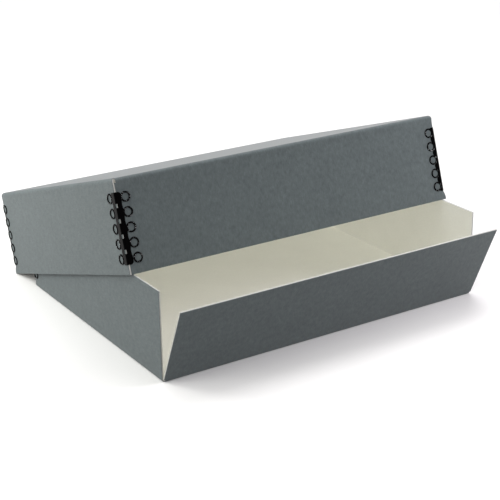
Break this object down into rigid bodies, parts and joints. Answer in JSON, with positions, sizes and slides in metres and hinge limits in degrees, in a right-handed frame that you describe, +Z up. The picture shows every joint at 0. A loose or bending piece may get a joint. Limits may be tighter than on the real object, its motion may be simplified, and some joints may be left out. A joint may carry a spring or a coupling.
{
  "type": "archival box",
  "caption": "Drop-front storage box of lined grey board with metal corner stays and a separate full-depth lid, shown open with the lid pushed back.",
  "frame": {"origin": "underside of the base, at the middle of its outline with the drop front closed", "axes": "+X along the box, +Y from the drop front towards the back wall, +Z up"},
  "size_m": [0.3288, 0.334, 0.1517],
  "materials": {
    "grey_board": "matte",
    "cream_lining": "matte",
    "black_enamel": "gloss"
  },
  "bodies": {
    "base": {"base_board": "grey_board", "base_liner": "cream_lining", "base_stay_rear_left": "black_enamel", "base_stay_rear_right": "black_enamel"},
    "drop_front": {"drop_front_board": "grey_board", "drop_front_liner": "cream_lining"},
    "lid": {"lid_board": "grey_board", "lid_liner": "cream_lining", "lid_stay_front_left": "black_enamel", "lid_stay_front_right": "black_enamel", "lid_stay_rear_left": "black_enamel", "lid_stay_rear_right": "black_enamel"}
  },
  "joints": [
    {"name": "front_crease", "type": "hinge", "parent": "base", "child": "drop_front", "pos_m": [0, -0.12045, 0.0017], "axis": [1, 0, 0], "range_deg": [-23.5, 66.5]},
    {"name": "lid_lift", "type": "slide", "parent": "base", "child": "lid", "axis": [0, 0.312, 0.9501], "range_m": [0, 0.1]}
  ]
}
